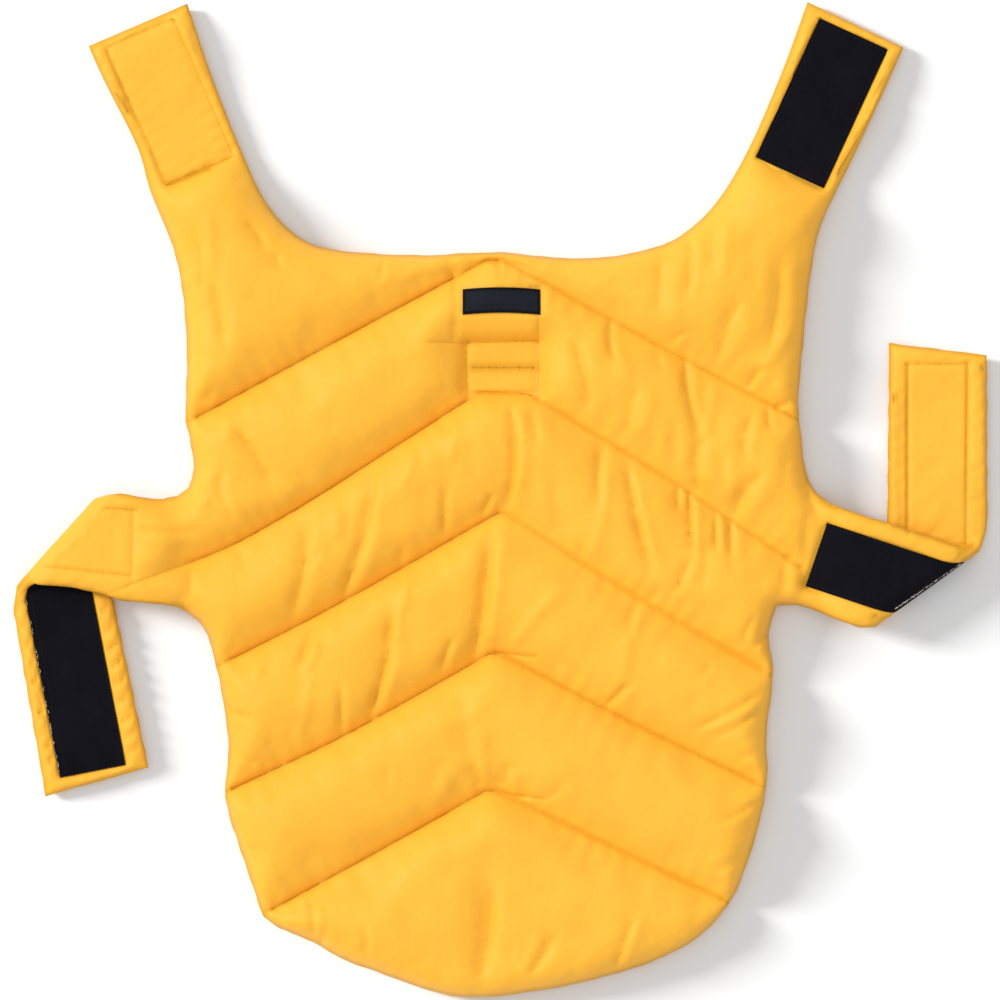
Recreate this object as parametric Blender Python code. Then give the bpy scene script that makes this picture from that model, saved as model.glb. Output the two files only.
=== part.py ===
"""A quilted vest for a dog, laid out flat with its outer face up.

Metres, +Z up.  +Y runs towards the neck.  The origin lies on the surface under
the vest, below the middle of its bounding box.

The vest is drawn as a flat pattern: the outline, the quilting, and the strips
of the two belly bands at full length.  The pattern is meshed, given its padded
thickness, and the bands are then folded under themselves on a slant.
"""
from collections import namedtuple
from math import ceil, cos, pi, radians, sin

import bpy
import numpy as np
from mathutils import Vector
from mathutils.geometry import delaunay_2d_cdt

# Cloth
PRESSED = 0.0055          # thickness of the two shells and the wadding under a seam
LOFT = 0.0125             # how far a full channel stands above its seams
LOFT_REACH = 0.030        # distance from a seam at which a channel is full
SLOT_LOFT = 0.0035        # the stitched box round the leash slot stays nearly flat
EDGE_ROUND = 0.0025       # the turned edge bulges past the stitched faces
TAPE = 0.0010
LABEL = 0.0009
GAP = 0.0003              # between pieces that touch
MARGIN = 0.0025           # width of the slope beside a tape

# Folded belly bands
BAND_WIDTH = 0.054
BAND_LOFT = 0.6           # share of the body's loft that the bands have
ROOT_BLEND = 0.030
FOLD_INSIDE = 0.0030      # radius inside the fold
FOLD_FACETS = 10
RAMP_START = 0.002        # the upper layer comes down between these distances
RAMP_END = 0.036          # from the layer beneath it
FADE = 0.012              # length over which padding changes face past a fold

# Mesh
STEP = 0.0072             # edge length on the outer face
FOLD_LINE_END = 0.0025    # facet lines of a fold stop this far inside the band's edge
CLEAR = 0.0012            # lines inside the pattern stop this far from its edge
COARSE = 5                # the underside of the body keeps one point in this many rows

Knot = namedtuple("Knot", "x y")
Stretch = namedtuple("Stretch", "name knots")
Chevron = namedtuple("Chevron", "left left_arm apex_left apex_right right_arm right")
Patch = namedtuple("Patch", "name x y angle length width")
Tip = namedtuple("Tip", "along across")
Tape = namedtuple("Tape", "start end across outside")
Band = namedtuple("Band", "name root angle fold_at fold_angle left_tip right_tip tape")
Crease = namedtuple("Crease", "x1 y1 x2 y2 width depth")

# The outline, clockwise from the inner corner of the left strap.  Each stretch
# is one smooth curve, and the stretches meet at corners.
NECKLINE = Stretch("neckline", (
    Knot(-0.1700, 0.2697), Knot(-0.1572, 0.2317), Knot(-0.1409, 0.1904), Knot(-0.1268, 0.1612),
    Knot(-0.1104, 0.1436), Knot(-0.0925, 0.1363), Knot(-0.0452, 0.1331), Knot(0.0000, 0.1346),
    Knot(0.0305, 0.1318), Knot(0.0539, 0.1316), Knot(0.0811, 0.1363), Knot(0.0963, 0.1423),
    Knot(0.1153, 0.1588), Knot(0.1333, 0.1871), Knot(0.1529, 0.2317), Knot(0.1672, 0.2706)))
RIGHT_SIDE = Stretch("right strap and side", (
    Knot(0.2192, 0.2459), Knot(0.2051, 0.2143), Knot(0.1899, 0.1822), Knot(0.1744, 0.1493),
    Knot(0.1697, 0.1281), Knot(0.1654, 0.0925), Knot(0.1621, 0.0533), Knot(0.1637, 0.0359),
    Knot(0.1659, 0.0169), Knot(0.1719, 0.0038), Knot(0.1839, -0.0038), Knot(0.2020, -0.0098)))
RIGHT_ROOT = Stretch("under the right band", (
    Knot(0.2290, -0.0774), Knot(0.2043, -0.0738), Knot(0.1888, -0.0670), Knot(0.1795, -0.0636),
    Knot(0.1686, -0.0588), Knot(0.1610, -0.0571), Knot(0.1504, -0.0577)))
HEM = Stretch("right side and hem", (
    Knot(0.1504, -0.0577), Knot(0.1458, -0.0729), Knot(0.1485, -0.0930), Knot(0.1447, -0.1284),
    Knot(0.1452, -0.1529), Knot(0.1376, -0.1871), Knot(0.1246, -0.2192), Knot(0.1023, -0.2415),
    Knot(0.0609, -0.2579), Knot(0.0076, -0.2687), Knot(-0.0267, -0.2693), Knot(-0.0691, -0.2557),
    Knot(-0.0870, -0.2488), Knot(-0.1012, -0.2404), Knot(-0.1197, -0.2328), Knot(-0.1287, -0.2263)))
LEFT_LOWER = Stretch("lower left side", (
    Knot(-0.1287, -0.2263), Knot(-0.1387, -0.1969), Knot(-0.1493, -0.1616), Knot(-0.1474, -0.1344),
    Knot(-0.1518, -0.1023), Knot(-0.1588, -0.0734), Knot(-0.1637, -0.0658), Knot(-0.1763, -0.0577),
    Knot(-0.1888, -0.0560), Knot(-0.2056, -0.0543), Knot(-0.2220, -0.0494), Knot(-0.2440, -0.0462)))
LEFT_SIDE = Stretch("left side and strap", (
    Knot(-0.2130, 0.0044), Knot(-0.1964, 0.0019), Knot(-0.1833, 0.0005), Knot(-0.1752, 0.0022),
    Knot(-0.1694, 0.0065), Knot(-0.1665, 0.0174), Knot(-0.1686, 0.0337), Knot(-0.1708, 0.0430),
    Knot(-0.1703, 0.0870), Knot(-0.1757, 0.1306), Knot(-0.1904, 0.1692), Knot(-0.1964, 0.1904),
    Knot(-0.2154, 0.2285), Knot(-0.2236, 0.2466)))

# Quilting: inverted V lines from side to side.
QUILTING = (
    Chevron(Knot(-0.1650, 0.0447), Knot(-0.0910, 0.0850), Knot(-0.0076, 0.1300),
            Knot(0.0016, 0.1300), Knot(0.0820, 0.0860), Knot(0.1600, 0.0445)),
    Chevron(Knot(-0.2020, -0.0462), Knot(-0.1387, -0.0210), Knot(-0.0110, 0.0583),
            Knot(0.0163, 0.0575), Knot(0.0925, 0.0105), Knot(0.1640, -0.0370)),
    Chevron(Knot(-0.1510, -0.0890), Knot(-0.0925, -0.0590), Knot(-0.0010, -0.0071),
            Knot(0.0045, -0.0078), Knot(0.0700, -0.0500), Knot(0.1420, -0.0920)),
    Chevron(Knot(-0.1455, -0.1570), Knot(-0.0870, -0.1292), Knot(-0.0055, -0.0836),
            Knot(0.0010, -0.0836), Knot(0.0700, -0.1200), Knot(0.1390, -0.1535)),
    Chevron(Knot(-0.1240, -0.2226), Knot(-0.0650, -0.1902), Knot(-0.0080, -0.1582),
            Knot(-0.0010, -0.1582), Knot(0.0609, -0.1882), Knot(0.1240, -0.2185)))

# Stitched rectangles.  The angle is the direction of the length.
NECK_TAPE_RIGHT = Patch("tape_neck_right", 0.1748, 0.2156, radians(65.3), 0.083, 0.0405)
NECK_TAPE_LEFT = Patch("tape_neck_left", -0.1796, 0.2164, radians(113.7), 0.082, 0.0400)
LABEL_TAB = Patch("label_tab", 0.0008, 0.1080, radians(90), 0.0138, 0.0420)
LEASH_BOX = Patch("leash box", 0.0012, 0.0725, radians(90), 0.0265, 0.0395)
LEASH_SLOT = Patch("leash slot", 0.0022, 0.0718, radians(90), 0.0012, 0.0330)

# The bands run straight from the middle of their roots.  Tips and tapes are
# measured along and across the strip.  It is folded under along a slanted line.
TAPE_WIDTH = 0.0362
BANDS = (
    Band("band_left", Knot(-0.1686, -0.0250), radians(175.8), 0.0597, radians(48.4),
         Tip(0.2152, 0.0290), Tip(0.2104, -0.0288), Tape(0.0300, 0.2066, 0.0012, False)),
    Band("band_right", Knot(0.1670, -0.0275), radians(-18.3), 0.0575, radians(35.9),
         Tip(0.2034, 0.0276), Tip(0.2099, -0.0254), Tape(0.0052, 0.2000, -0.0005, True)))

# The largest folds of the outer shell.
CREASES = (
    Crease(0.0060, 0.0495, 0.0038, -0.0054, 0.0060, 0.0030),
    Crease(-0.0054, -0.0207, -0.0136, -0.0843, 0.0060, 0.0030),
    Crease(-0.0642, 0.0228, -0.0849, -0.0479, 0.0065, 0.0030),
    Crease(-0.0250, 0.0452, -0.0299, -0.0120, 0.0060, 0.0020),
    Crease(-0.0582, -0.0604, -0.0696, -0.1137, 0.0060, 0.0030),
    Crease(-0.1061, -0.0065, -0.1099, -0.0544, 0.0060, 0.0020),
    Crease(-0.1055, -0.0696, -0.1099, -0.0979, 0.0060, 0.0020),
    Crease(0.0696, 0.0163, 0.0805, -0.0386, 0.0060, 0.0025),
    Crease(0.0952, 0.0060, 0.1055, -0.0267, 0.0060, 0.0025),
    Crease(0.0544, 0.0272, 0.0533, 0.0038, 0.0060, 0.0020),
    Crease(0.0408, 0.0832, 0.0490, 0.0549, 0.0060, 0.0025),
    Crease(0.0604, 0.0968, 0.0615, 0.0772, 0.0060, 0.0020),
    Crease(0.1023, 0.0751, 0.1072, 0.0495, 0.0060, 0.0025),
    Crease(0.1164, 0.0620, 0.1055, 0.0185, 0.0065, 0.0025),
    Crease(0.1306, 0.0843, 0.1208, 0.0626, 0.0065, 0.0020),
    Crease(0.0898, 0.1387, 0.0936, 0.1088, 0.0065, 0.0020),
    Crease(-0.1398, 0.0392, -0.1229, 0.0103, 0.0060, 0.0020),
    Crease(-0.0087, -0.2067, -0.0071, -0.2584, 0.0070, 0.0020),
    Crease(-0.1550, 0.1414, -0.1491, 0.0843, 0.0070, 0.0020))


# ---------------------------------------------------------------- flat pattern

def lengthwise(angle):
    return Vector((cos(angle), sin(angle)))


def crosswise(angle):
    return Vector((-sin(angle), cos(angle)))


def evenly(start, end, step):
    """Points from start up to, but not at, end."""
    pieces = max(1, round((end - start).length / step))
    return [start.lerp(end, k / pieces) for k in range(pieces)]


def smooth(knots, step):
    """A smooth curve through the knots, as points about one step apart."""
    here = [Vector((knot[0], knot[1])) for knot in knots]
    slopes = []
    for k in range(len(here)):
        before, after = here[max(k - 1, 0)], here[min(k + 1, len(here) - 1)]
        reach = (here[k] - before).length + (after - here[k]).length
        slopes.append((after - before) / reach)
    curve = []
    for k in range(len(here) - 1):
        chord = (here[k + 1] - here[k]).length
        pieces = max(1, round(chord / step))
        for part in range(pieces):
            t = part / pieces
            curve.append((2 * t ** 3 - 3 * t ** 2 + 1) * here[k]
                         + (t ** 3 - 2 * t ** 2 + t) * chord * slopes[k]
                         + (3 * t ** 2 - 2 * t ** 3) * here[k + 1]
                         + (t ** 3 - t ** 2) * chord * slopes[k + 1])
    return curve + [here[-1]]


def ring(patch, outset=0.0, step=STEP):
    """The edge of a stitched rectangle, or a line that far outside it."""
    centre = Vector((patch.x, patch.y))
    along = lengthwise(patch.angle) * (patch.length / 2 + outset)
    across = crosswise(patch.angle) * (patch.width / 2 + outset)
    corners = [centre + along + across, centre - along + across,
               centre - along - across, centre + along - across]
    points = []
    for k in range(4):
        points += evenly(corners[k], corners[(k + 1) % 4], step)
    return points


def chevron_line(row):
    """One quilting line, from the left side over its apex to the right side."""
    return smooth(row[:3], STEP) + smooth(row[3:], STEP)


def strip_point(band, along, across):
    """A point of a band's flat strip, measured from the middle of its root."""
    return Vector(band.root) + lengthwise(band.angle) * along + crosswise(band.angle) * across


def band_tape(band):
    """The tape on a band, as a rectangle on the flat strip."""
    tape = band.tape
    middle = strip_point(band, (tape.start + tape.end) / 2, tape.across)
    return Patch("tape_" + band.name, middle.x, middle.y, band.angle, tape.end - tape.start, TAPE_WIDTH)


def fold_places(band):
    """Distances past the fold axis of the facet lines of the fold."""
    return [fold_arc() * k / FOLD_FACETS for k in range(FOLD_FACETS + 1)]


def fold_arc():
    """Length of the outer shell round a fold: it can't stretch, and the inside crumples."""
    return pi * (FOLD_INSIDE + PRESSED)


def past_fold(band, points):
    """Signed distance of pattern points past a band's fold axis."""
    slant = crosswise(band.fold_angle)
    if slant.dot(lengthwise(band.angle)) < 0:
        slant = -slant
    on_axis = strip_point(band, band.fold_at, 0)
    offsets = np.asarray(points) - np.array(on_axis)
    return offsets @ np.array(slant), slant


def on_strip(band, points):
    """Which pattern points belong to a band beyond its root."""
    offsets = np.asarray(points) - np.array(band.root)
    along = offsets @ np.array(lengthwise(band.angle))
    across = offsets @ np.array(crosswise(band.angle))
    return (along > 0) & (np.abs(across) < BAND_WIDTH * 0.62)


def outline():
    """The outline of the whole flat pattern, as a closed clockwise loop."""
    left, right = BANDS
    left_tip_low, left_tip_high = strip_point(left, *left.left_tip), strip_point(left, *left.right_tip)
    right_tip_high, right_tip_low = strip_point(right, *right.left_tip), strip_point(right, *right.right_tip)
    upper_right = RIGHT_SIDE.knots + (tuple(right_tip_high),)
    lower_right = (tuple(right_tip_low),) + RIGHT_ROOT.knots
    lower_left = LEFT_LOWER.knots + (tuple(left_tip_low),)
    upper_left = (tuple(left_tip_high),) + LEFT_SIDE.knots
    loop = []
    for knots in (NECKLINE.knots, (NECKLINE.knots[-1], RIGHT_SIDE.knots[0]), upper_right,
                  (tuple(right_tip_high), tuple(right_tip_low)), lower_right, HEM.knots, lower_left,
                  (tuple(left_tip_low), tuple(left_tip_high)), upper_left,
                  (LEFT_SIDE.knots[-1], NECKLINE.knots[0])):
        loop += smooth(knots, STEP)[:-1]
    for band in BANDS:
        loop = cut_at_fold(loop, band)
    return loop


def cut_at_fold(loop, band):
    """The loop with a point on every facet line of the fold that it crosses."""
    distance, _ = past_fold(band, loop)
    strip = on_strip(band, loop)
    places = fold_places(band)
    cut = []
    for k, start in enumerate(loop):
        end = loop[(k + 1) % len(loop)]
        d1, d2 = distance[k], distance[(k + 1) % len(loop)]
        inside = places[0] < d1 < places[-1]
        if not (strip[k] and inside):
            cut.append(start)
        if not (strip[k] or strip[(k + 1) % len(loop)]):
            continue
        crossed = [place for place in places if min(d1, d2) < place <= max(d1, d2)]
        if d2 < d1:
            crossed.reverse()
        cut += [start.lerp(end, (place - d1) / (d2 - d1)) for place in crossed]
    return cut


def inset(loop, distance):
    """A clockwise loop moved inwards."""
    moved = []
    for k, here in enumerate(loop):
        before = (here - loop[k - 1]).normalized()
        after = (loop[(k + 1) % len(loop)] - here).normalized()
        inward = Vector((before.y + after.y, -before.x - after.x)).normalized()
        lean = max(0.5, Vector((before.y, -before.x)).dot(inward))
        moved.append(here + inward * distance / lean)
    return moved


# ----------------------------------------------------------------- thickness

def distance_to(lines, points):
    """Distance of each point to the nearest of the polylines."""
    points = np.asarray(points)
    nearest = np.full(len(points), 1.0)
    for line in lines:
        knots = np.array([tuple(knot) for knot in line])
        for start, end in zip(knots[:-1], knots[1:]):
            run = end - start
            t = np.clip((points - start) @ run / max(run @ run, 1e-12), 0, 1)
            nearest = np.minimum(nearest, np.hypot(*(points - start - t[:, None] * run).T))
    return nearest


def within(patch, points, outset=0.0):
    """Which points lie in or on a rectangle."""
    offsets = np.asarray(points) - np.array((patch.x, patch.y))
    along = np.abs(offsets @ np.array(lengthwise(patch.angle)))
    across = np.abs(offsets @ np.array(crosswise(patch.angle)))
    return (along < patch.length / 2 + outset + 1e-5) & (across < patch.width / 2 + outset + 1e-5)


def ease(t):
    """Rises smoothly from 0 to 1."""
    t = np.clip(t, 0, 1)
    return t * t * (3 - 2 * t)


def padding(points, rim):
    """Height of the loft over the pressed cloth."""
    patches = [NECK_TAPE_RIGHT, NECK_TAPE_LEFT] + [band_tape(band) for band in BANDS]
    seams = [chevron_line(row) for row in QUILTING] + [rim + rim[:1]]
    seams += [closed(ring(patch)) for patch in patches + [LEASH_BOX]]
    reach = np.clip(distance_to(seams, points) / LOFT_REACH, 0, 1)
    loft = LOFT * (1 - (1 - reach) ** 2)
    for patch in patches:
        loft[within(patch, points)] = 0
    box = within(LEASH_BOX, points)
    loft[box] = np.minimum(loft[box], SLOT_LOFT)
    slot = distance_to([closed(ring(LEASH_SLOT))], points)
    loft *= np.where(box, ease(slot / (3 * EDGE_ROUND)), 1)
    for crease in CREASES:
        line = [(crease.x1, crease.y1), (crease.x2, crease.y2)]
        trough = 1 - ease(distance_to([line], points) / crease.width)
        loft -= crease.depth * trough * ease(loft / (2 * crease.depth))
    return loft


def closed(points):
    return points + points[:1]


def faces_of(points, rim):
    """Heights of the outer and the inner face over the plain inner face."""
    points = np.array([tuple(point) for point in points])
    loft = padding(points, rim)
    inner = np.zeros(len(points))
    turned_under = np.zeros(len(points))
    taped_outside = within(NECK_TAPE_RIGHT, points)
    sunk = TAPE + GAP
    for band in BANDS:
        strip = on_strip(band, points)
        past, _ = past_fold(band, points)
        from_root = (points - np.array(band.root)) @ np.array(lengthwise(band.angle))
        loft *= np.where(strip, 1 - (1 - BAND_LOFT) * ease(from_root / ROOT_BLEND), 1)
        turned = np.where(strip, ease((past + FADE / 2) / FADE), 0)
        lined = np.where(strip, ease((past - fold_arc()) / FADE), 0)
        turned_under = np.maximum(turned_under, turned)
        inner -= loft * lined
        taped = within(band_tape(band), points)
        if band.tape.outside:
            taped_outside |= taped
        else:
            inner[taped] = sunk
    outer = PRESSED + loft * (1 - turned_under)
    outer[taped_outside] = PRESSED - sunk
    inner[within(NECK_TAPE_LEFT, points)] = sunk
    return outer, inner


# ---------------------------------------------------------------------- fold

def fold_centre():
    """Height of the axis of a fold: the turned-under layer lies on the surface."""
    return FOLD_INSIDE + PRESSED


def leg_distance(band, points):
    """Distance from a band's turned-under layer, in plan, towards the body."""
    leg = 2 * band.fold_angle - band.angle
    near_side = crosswise(leg)
    body = -lengthwise(band.angle)
    if near_side.dot(body) < 0:
        near_side = -near_side
    on_axis = strip_point(band, band.fold_at, 0)
    return (points - np.array(on_axis)) @ np.array(near_side) - BAND_WIDTH / 2


def laid(points, heights):
    """Places of pattern points at heights over the inner face, with the bands folded."""
    flat = np.array([tuple(point) for point in points])
    placed = np.column_stack((flat, heights))
    for band in BANDS:
        past, slant = past_fold(band, flat)
        strip = on_strip(band, flat)
        ramp = (leg_distance(band, flat) - RAMP_START) / (RAMP_END - RAMP_START)
        lifted = (fold_centre() + FOLD_INSIDE) * (1 - ease(ramp))
        upper = strip & (past <= 0)
        placed[upper, 2] += lifted[upper]
        for k in np.nonzero(strip & (past > 0))[0]:
            radius = FOLD_INSIDE + heights[k]
            turn = past[k] / fold_arc() * pi
            if turn < pi:
                plan, height = radius * sin(turn), fold_centre() + radius * cos(turn)
            else:
                plan, height = fold_arc() - past[k], fold_centre() - radius
            placed[k, :2] = flat[k] + np.array(slant) * (plan - past[k])
            placed[k, 2] = height
    return placed


# ---------------------------------------------------------------------- mesh

def contains(loop, x, y):
    """Whether a point is inside a closed loop of (x, y)."""
    inside = False
    for (x1, y1), (x2, y2) in zip(loop, loop[1:] + loop[:1]):
        if (y1 > y) != (y2 > y) and x < (x2 - x1) * (y - y1) / (y2 - y1) + x1:
            inside = not inside
    return inside


def seeds(loop, lines, coarse):
    """Staggered rows of points that fill the pattern, clear of its lines."""
    xs, ys = [point.x for point in loop], [point.y for point in loop]
    rise = STEP * sin(radians(60))
    places = []
    for row in range(ceil((max(ys) - min(ys)) / rise)):
        for column in range(ceil((max(xs) - min(xs)) / STEP)):
            x = min(xs) + (column + (row % 2) / 2) * STEP
            y = min(ys) + row * rise
            places.append((x, y, row % COARSE == 0 and (column + row // COARSE // 2) % COARSE == 0))
    points = np.array([place[:2] for place in places])
    kept = distance_to([closed(loop)] + lines, points) > 0.62 * STEP
    if coarse:
        on_band = on_strip(BANDS[0], points) | on_strip(BANDS[1], points)
        kept &= on_band | np.array([place[2] for place in places])
    for band in BANDS:
        past, _ = past_fold(band, points)
        kept &= ~(on_strip(band, points) & (past > 0) & (past < fold_arc()))
    return [Vector(point) for point in points[kept] if contains(loop, *point)]


def fold_lines(band):
    """The facet lines of a fold, which stop a little inside the band's edges."""
    lines = []
    _, slant = past_fold(band, [(0, 0)])
    along = lengthwise(band.fold_angle)
    sideways = crosswise(band.angle)
    for place in fold_places(band):
        middle = strip_point(band, band.fold_at, 0) + slant * place
        root = strip_point(band, 0, 0)
        half = BAND_WIDTH / 2 - EDGE_ROUND - FOLD_LINE_END
        spread = abs(along.dot(sideways))
        off_middle = (middle - root).dot(sideways)
        ends = [middle + along * ((side * half - off_middle) / along.dot(sideways)) for side in (-1, 1)]
        lines.append(evenly(ends[0], ends[1], STEP * spread) + [ends[1]])
    return lines


def clear_runs(line, edge):
    """The stretches of a line that lie inside the edge and clear of it."""
    far = distance_to([closed(edge)], [tuple(point) for point in line]) > CLEAR
    loop = [tuple(point) for point in edge]
    runs, run = [], []
    for point, is_far in zip(line, far):
        if is_far and contains(loop, *point):
            run.append(point)
        else:
            runs.append(run)
            run = []
    runs.append(run)
    return [run for run in runs if len(run) > 1]


def triangulate(edge, lines, coarse):
    """Triangles of the pattern inside its edge, with the lines as edges of them."""
    slot = ring(LEASH_SLOT)
    lines = [run for line in lines for run in clear_runs(line, edge)]
    points = list(edge) + list(slot)
    joints = [(k, (k + 1) % len(edge)) for k in range(len(edge))]
    joints += [(len(edge) + k, len(edge) + (k + 1) % len(slot)) for k in range(len(slot))]
    for line in lines:
        joints += [(len(points) + k, len(points) + k + 1) for k in range(len(line) - 1)]
        points += line
    points += seeds(edge, lines + [closed(slot)], coarse)
    result = delaunay_2d_cdt(points, joints, [], 0, 1e-6)
    flat, triangles, sources = result[0], result[2], result[3]
    edge_loop = [tuple(point) for point in edge]
    slot_loop = [tuple(point) for point in slot]
    kept = []
    for triangle in triangles:
        x = sum(flat[k].x for k in triangle) / 3
        y = sum(flat[k].y for k in triangle) / 3
        if contains(edge_loop, x, y) and not contains(slot_loop, x, y):
            kept.append(tuple(triangle))
    place_of = {}
    for k, source in enumerate(sources):
        for original in source:
            place_of[original] = k
    edge_ids = [place_of[k] for k in range(len(edge))]
    slot_ids = [place_of[len(edge) + k] for k in range(len(slot))]
    return flat, kept, edge_ids, slot_ids


def add_solid(name, places, faces, material):
    """A closed body from its points and faces, without unused points."""
    used = sorted({k for face in faces for k in face})
    number = {old: new for new, old in enumerate(used)}
    mesh = bpy.data.meshes.new(name)
    mesh.from_pydata([tuple(places[k]) for k in used], [], [[number[k] for k in face] for face in faces])
    mesh.materials.append(material)
    mesh.validate()
    mesh.shade_smooth()
    mesh.set_sharp_from_angle(angle=radians(50))
    body = bpy.data.objects.new(name, mesh)
    bpy.context.collection.objects.link(body)
    return body


def wall(lower, upper):
    """Faces between two loops of the same length, for a clockwise outline."""
    faces = []
    for k in range(len(lower)):
        after = (k + 1) % len(lower)
        faces.append((lower[after], lower[k], upper[k]))
        faces.append((lower[after], upper[k], upper[after]))
    return faces


def make_panel(rim, edge, face_mesh, back_mesh, cloth):
    """The quilted panel with its straps and folded bands."""
    face_flat, face_triangles, face_edge, face_slot = face_mesh
    back_flat, back_triangles, back_edge, back_slot = back_mesh
    outer, _ = faces_of(face_flat, rim)
    _, inner = faces_of(back_flat, rim)
    edge_outer, edge_inner = faces_of(edge, rim)
    places = list(laid(face_flat, outer)) + list(laid(back_flat, inner))
    places += list(laid(rim, (edge_outer + edge_inner) / 2))
    back_start = len(face_flat)
    rim_start = back_start + len(back_flat)
    faces = list(face_triangles)
    faces += [tuple(back_start + k for k in reversed(triangle)) for triangle in back_triangles]
    rim_ids = list(range(rim_start, rim_start + len(rim)))
    lower_edge = [back_start + k for k in back_edge]
    faces += wall(lower_edge, rim_ids) + wall(rim_ids, face_edge)
    faces += wall([back_start + k for k in back_slot], face_slot)
    return add_solid("quilted_panel", places, faces, cloth)


def make_laid_piece(name, patch, mesh, rim, thickness, outside, material):
    """A tape or label made from the points of the face it lies on."""
    flat, triangles = mesh[0], mesh[1]
    kept = []
    for triangle in triangles:
        middle = sum((flat[k] for k in triangle), Vector((0, 0))) / 3
        if within(patch, [tuple(middle)])[0]:
            kept.append(triangle)
    outer, inner = faces_of(flat, rim)
    if outside:
        lower, upper = outer + GAP, outer + GAP + thickness
    else:
        lower, upper = inner - GAP - thickness, inner - GAP
    places = list(laid(flat, lower)) + list(laid(flat, upper))
    top = len(flat)
    sides = {(face[k], face[(k + 1) % 3]) for face in kept for k in range(3)}
    faces = [tuple(top + k for k in face) for face in kept]
    faces += [tuple(reversed(face)) for face in kept]
    for start, end in sides:
        if (end, start) not in sides:
            faces.append((start, end, top + end))
            faces.append((start, top + end, top + start))
    return add_solid(name, places, faces, material)


# --------------------------------------------------------------------- build

def make_material(name, colour, roughness):
    material = bpy.data.materials.new(name)
    material.use_nodes = True
    shader = material.node_tree.nodes["Principled BSDF"]
    shader.inputs["Base Color"].default_value = (*colour, 1)
    shader.inputs["Roughness"].default_value = roughness
    shader.inputs["Metallic"].default_value = 0
    return material


def seam_lines(patches):
    """Rectangles as closed lines, with the top of the slope round them."""
    return [closed(ring(patch, outset)) for patch in patches for outset in (0, MARGIN)]


def main():
    for thing in list(bpy.data.objects):
        bpy.data.objects.remove(thing)
    cloth = make_material("quilted_cloth", (0.95, 0.48, 0.06), 0.8)
    hooks = make_material("hook_tape", (0.010, 0.009, 0.013), 0.9)
    woven = make_material("label_cloth", (0.012, 0.014, 0.017), 0.7)

    rim = outline()
    edge = inset(rim, EDGE_ROUND)
    folds = fold_lines(BANDS[0]) + fold_lines(BANDS[1])
    band_tapes = [band_tape(band) for band in BANDS]
    neck_tapes = [NECK_TAPE_RIGHT, NECK_TAPE_LEFT]
    face_lines = [chevron_line(row) for row in QUILTING] + folds
    face_lines += seam_lines(neck_tapes + band_tapes)
    face_lines += [closed(ring(LABEL_TAB)), closed(ring(LEASH_BOX))]
    back_lines = folds + seam_lines([NECK_TAPE_LEFT] + band_tapes)
    face_mesh = triangulate(edge, face_lines, False)
    back_mesh = triangulate(edge, back_lines, True)

    make_panel(rim, edge, face_mesh, back_mesh, cloth)
    make_laid_piece("tape_neck_right", NECK_TAPE_RIGHT, face_mesh, rim, TAPE, True, hooks)
    make_laid_piece("tape_neck_left", NECK_TAPE_LEFT, back_mesh, rim, TAPE, False, hooks)
    for band, tape in zip(BANDS, band_tapes):
        mesh = face_mesh if band.tape.outside else back_mesh
        make_laid_piece(tape.name, tape, mesh, rim, TAPE, band.tape.outside, hooks)
    make_laid_piece("label_tab", LABEL_TAB, face_mesh, rim, LABEL, True, woven)


main()
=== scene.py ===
# Quilted dog vest laid out flat, seen from straight above in soft studio light.
import bpy, bmesh
import numpy as np
from math import cos, pi, radians, sin
from mathutils import Matrix, Vector
from mathutils.bvhtree import BVHTree
from mathutils.kdtree import KDTree


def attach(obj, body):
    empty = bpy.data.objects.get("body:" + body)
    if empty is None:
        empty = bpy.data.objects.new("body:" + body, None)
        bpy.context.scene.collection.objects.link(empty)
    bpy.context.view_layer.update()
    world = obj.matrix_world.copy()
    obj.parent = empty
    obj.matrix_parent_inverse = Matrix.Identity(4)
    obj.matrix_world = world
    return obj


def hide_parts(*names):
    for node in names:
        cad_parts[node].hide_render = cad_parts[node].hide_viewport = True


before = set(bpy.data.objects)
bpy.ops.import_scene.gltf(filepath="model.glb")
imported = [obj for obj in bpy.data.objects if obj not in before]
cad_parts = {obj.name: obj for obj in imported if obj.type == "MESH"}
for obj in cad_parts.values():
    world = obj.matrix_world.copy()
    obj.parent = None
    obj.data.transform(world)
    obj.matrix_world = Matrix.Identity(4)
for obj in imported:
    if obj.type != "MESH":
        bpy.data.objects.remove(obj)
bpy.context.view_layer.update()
bpy.ops.object.select_all(action="DESELECT")

pixel = 0.000544  # metres on the table for one pixel of the photograph


def onTable(x, y):
    return np.array(((x - 500) * pixel, (500 - y) * pixel))


# ---- sewn lines and folds, as they lie

# Five quilting lines: two knots and the apex on the left, the apex and two knots on the right.
quilting = (
    ((-0.1650, 0.0447), (-0.0910, 0.0850), (-0.0076, 0.1300),
     (0.0016, 0.1300), (0.0820, 0.0860), (0.1600, 0.0445)),
    ((-0.2020, -0.0462), (-0.1387, -0.0210), (-0.0110, 0.0583),
     (0.0163, 0.0575), (0.0925, 0.0105), (0.1640, -0.0370)),
    ((-0.1510, -0.0890), (-0.0925, -0.0590), (-0.0010, -0.0071),
     (0.0045, -0.0078), (0.0700, -0.0500), (0.1420, -0.0920)),
    ((-0.1455, -0.1570), (-0.0870, -0.1292), (-0.0055, -0.0836),
     (0.0010, -0.0836), (0.0700, -0.1200), (0.1390, -0.1535)),
    ((-0.1240, -0.2226), (-0.0650, -0.1902), (-0.0080, -0.1582),
     (-0.0010, -0.1582), (0.0609, -0.1882), (0.1240, -0.2185)))

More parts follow.
